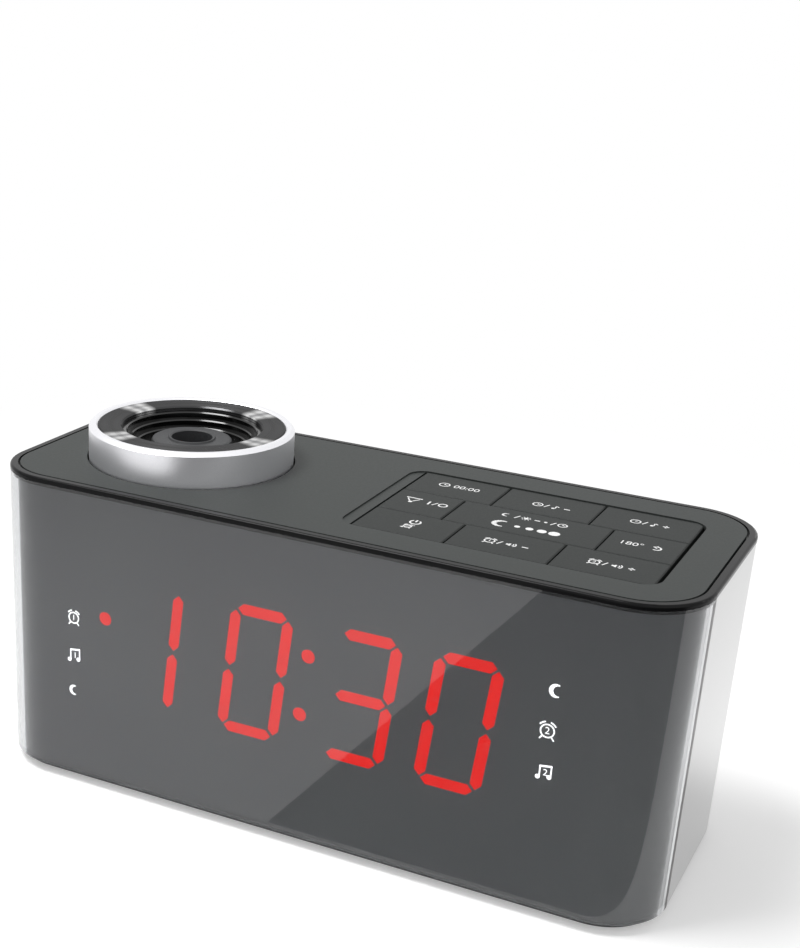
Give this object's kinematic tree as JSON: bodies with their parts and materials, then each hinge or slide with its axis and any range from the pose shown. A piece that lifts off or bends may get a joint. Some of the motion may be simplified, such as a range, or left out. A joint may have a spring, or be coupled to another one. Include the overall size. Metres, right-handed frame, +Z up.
{
  "type": "projection alarm clock",
  "caption": "Mains alarm clock with red segment display behind a smoked wrap-round lens, top keypad and a time projector with a turning focus ring.",
  "frame": {"origin": "on the table, under the middle of the body", "axes": "+X to the clock's right seen from the front, -Y out of its display, +Z up"},
  "size_m": [0.19, 0.0764, 0.096],
  "materials": {
    "smoked_acrylic": "gloss, tinted clear",
    "gloss_black": "gloss",
    "grained_black": "fine grain",
    "grained_key": "fine grain",
    "base_black": "matt",
    "foot_rubber": "matt",
    "screw_steel": "zinc plated",
    "inner_black": "matt",
    "board_green": "solder mask",
    "grey_film": "printed film",
    "switch_black": "matt",
    "satin_silver": "satin",
    "spun_black": "spun, dark",
    "funnel_black": "gloss",
    "barrel_grey": "matt",
    "clear_lens": "polished",
    "led_red": "lit",
    "led_dark": "unlit",
    "module_black": "matt",
    "paper_black": "pressed paper",
    "magnet_dark": "ferrite"
  },
  "bodies": {
    "case": {"front_lens": "smoked_acrylic", "rear_case": "gloss_black", "socket_plate": "gloss_black", "top_rim": "gloss_black", "top_panel": "grained_black", "base_plate": "base_black", "rubber_feet": "foot_rubber", "base_screws": "screw_steel", "key_frame": "inner_black", "key_board": "board_green", "tact_switches": "switch_black", "light_box": "inner_black", "picture_slide": "clear_lens", "condenser_lens": "clear_lens", "projector_board": "board_green", "projector_led": "led_red", "display_mask": "inner_black", "lens_film": "grey_film", "display_module": "module_black", "segments_lit": "led_red", "segments_dark": "led_dark", "display_board": "board_green", "speaker_gasket": "foot_rubber", "speaker_basket": "screw_steel", "speaker_cone": "paper_black", "speaker_magnet": "magnet_dark", "main_board": "board_green", "board_components": "switch_black", "dc_inlet": "switch_black", "antenna_bush": "foot_rubber", "coin_cell": "screw_steel", "cell_contact": "screw_steel"},
    "focus_dial": {"focus_ring": "satin_silver", "bezel_disc": "spun_black", "step_baffle": "funnel_black", "drive_sleeve": "inner_black"},
    "barrel": {"lens_barrel": "barrel_grey", "projection_lens": "clear_lens"},
    "door": {"battery_door": "base_black"},
    "power_key_body": {"power_key": "grained_key"},
    "alarm_one_key_body": {"alarm_one_key": "grained_key"},
    "alarm_two_key_body": {"alarm_two_key": "grained_key"},
    "projection_key_body": {"projection_key": "grained_key"},
    "snooze_key_body": {"snooze_key": "grained_key"},
    "flip_key_body": {"flip_key": "grained_key"},
    "time_set_key_body": {"time_set_key": "grained_key"},
    "hour_key_body": {"hour_key": "grained_key"},
    "minute_key_body": {"minute_key": "grained_key"}
  },
  "joints": [
    {"name": "power_key_press", "type": "slide", "parent": "case", "child": "power_key_body", "axis": [0, 0, -1], "range_m": [0, 0.0006], "stiffness_N_per_m": 400, "springref_m": -0.001},
    {"name": "alarm_one_key_press", "type": "slide", "parent": "case", "child": "alarm_one_key_body", "axis": [0, 0, -1], "range_m": [0, 0.0006], "stiffness_N_per_m": 400, "springref_m": -0.001},
    {"name": "alarm_two_key_press", "type": "slide", "parent": "case", "child": "alarm_two_key_body", "axis": [0, 0, -1], "range_m": [0, 0.0006], "stiffness_N_per_m": 400, "springref_m": -0.001},
    {"name": "projection_key_press", "type": "slide", "parent": "case", "child": "projection_key_body", "axis": [0, 0, -1], "range_m": [0, 0.0006], "stiffness_N_per_m": 400, "springref_m": -0.001},
    {"name": "snooze_key_press", "type": "slide", "parent": "case", "child": "snooze_key_body", "axis": [0, 0, -1], "range_m": [0, 0.0006], "stiffness_N_per_m": 400, "springref_m": -0.001},
    {"name": "flip_key_press", "type": "slide", "parent": "case", "child": "flip_key_body", "axis": [0, 0, -1], "range_m": [0, 0.0006], "stiffness_N_per_m": 400, "springref_m": -0.001},
    {"name": "time_set_key_press", "type": "slide", "parent": "case", "child": "time_set_key_body", "axis": [0, 0, -1], "range_m": [0, 0.0006], "stiffness_N_per_m": 400, "springref_m": -0.001},
    {"name": "hour_key_press", "type": "slide", "parent": "case", "child": "hour_key_body", "axis": [0, 0, -1], "range_m": [0, 0.0006], "stiffness_N_per_m": 400, "springref_m": -0.001},
    {"name": "minute_key_press", "type": "slide", "parent": "case", "child": "minute_key_body", "axis": [0, 0, -1], "range_m": [0, 0.0006], "stiffness_N_per_m": 400, "springref_m": -0.001},
    {"name": "focus_turn", "type": "hinge", "parent": "case", "child": "focus_dial", "pos_m": [-0.054, 0.0003, 0.09], "axis": [0, 0, 1], "range_deg": [-40, 40]},
    {"name": "barrel_slide", "type": "slide", "parent": "case", "child": "barrel", "axis": [0, 0, 1], "range_m": [-0.0014, 0.0014]},
    {"name": "door_slide", "type": "slide", "parent": "case", "child": "door", "axis": [0, 1, 0], "range_m": [0, 0.006]}
  ],
  "couplings": [
    {"joint": "barrel_slide", "follows": "focus_turn", "m_per_rad": -0.0017905}
  ]
}
